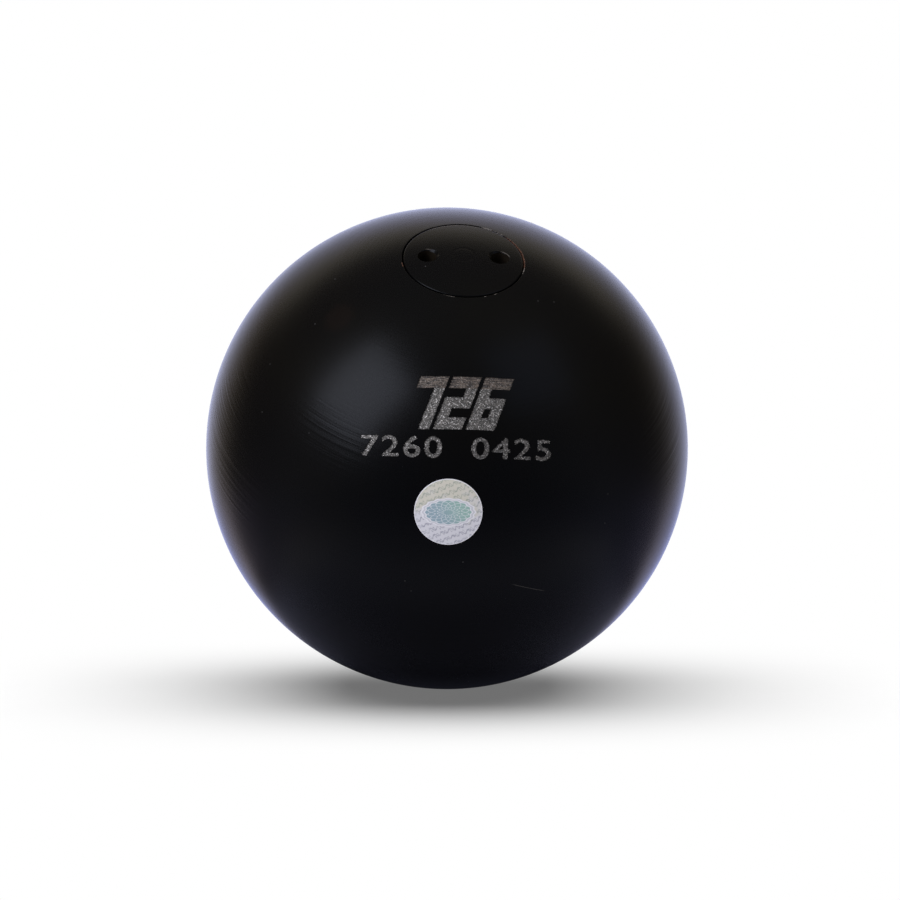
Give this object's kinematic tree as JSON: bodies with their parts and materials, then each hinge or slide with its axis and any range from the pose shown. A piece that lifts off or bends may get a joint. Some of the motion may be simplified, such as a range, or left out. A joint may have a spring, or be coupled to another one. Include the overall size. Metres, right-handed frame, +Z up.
{
  "type": "shot put ball",
  "caption": "Turned iron throwing ball with a flush screw plug, pin-spanner holes, sealed ballast bore and round foil seal.",
  "frame": {"origin": "the ball's centre", "axes": "+Z up as the ball lies at rest, -Y toward the viewer, +X to the viewer's right"},
  "size_m": [0.125, 0.1255, 0.125],
  "materials": {
    "ball_coat": "black satin coat over turned iron",
    "plug_coat": "black satin coat over turned steel, worn to rust at the rim",
    "washer_fibre": "vulcanised red fibre",
    "disc_steel": "turned bare steel",
    "packing_rubber": "dull cut rubber",
    "pellet_lead": "dull lead",
    "seal_foil": "holographic foil film with fine line pattern"
  },
  "bodies": {
    "ball": {"ball_body": "ball_coat", "foil_seal": "seal_foil", "pressure_disc": "disc_steel", "rubber_packing": "packing_rubber", "lead_pellet_01": "pellet_lead", "lead_pellet_02": "pellet_lead", "lead_pellet_03": "pellet_lead", "lead_pellet_04": "pellet_lead", "lead_pellet_05": "pellet_lead", "lead_pellet_06": "pellet_lead", "lead_pellet_07": "pellet_lead", "lead_pellet_08": "pellet_lead", "lead_pellet_09": "pellet_lead", "lead_pellet_10": "pellet_lead"},
    "washer": {"sealing_washer": "washer_fibre"},
    "plug": {"screw_plug": "plug_coat"}
  },
  "joints": [
    {"name": "washer_slide", "type": "slide", "parent": "ball", "child": "washer", "axis": [0.0667, -0.5137, 0.8554], "range_m": [0, 0.016]},
    {"name": "plug_turn", "type": "hinge", "parent": "washer", "child": "plug", "pos_m": [0, 0, 0], "axis": [0.0667, -0.5137, 0.8554], "range_deg": [0, 2885]}
  ],
  "couplings": [
    {"joint": "plug_turn", "follows": "washer_slide", "rad_per_m": 3141.6}
  ]
}
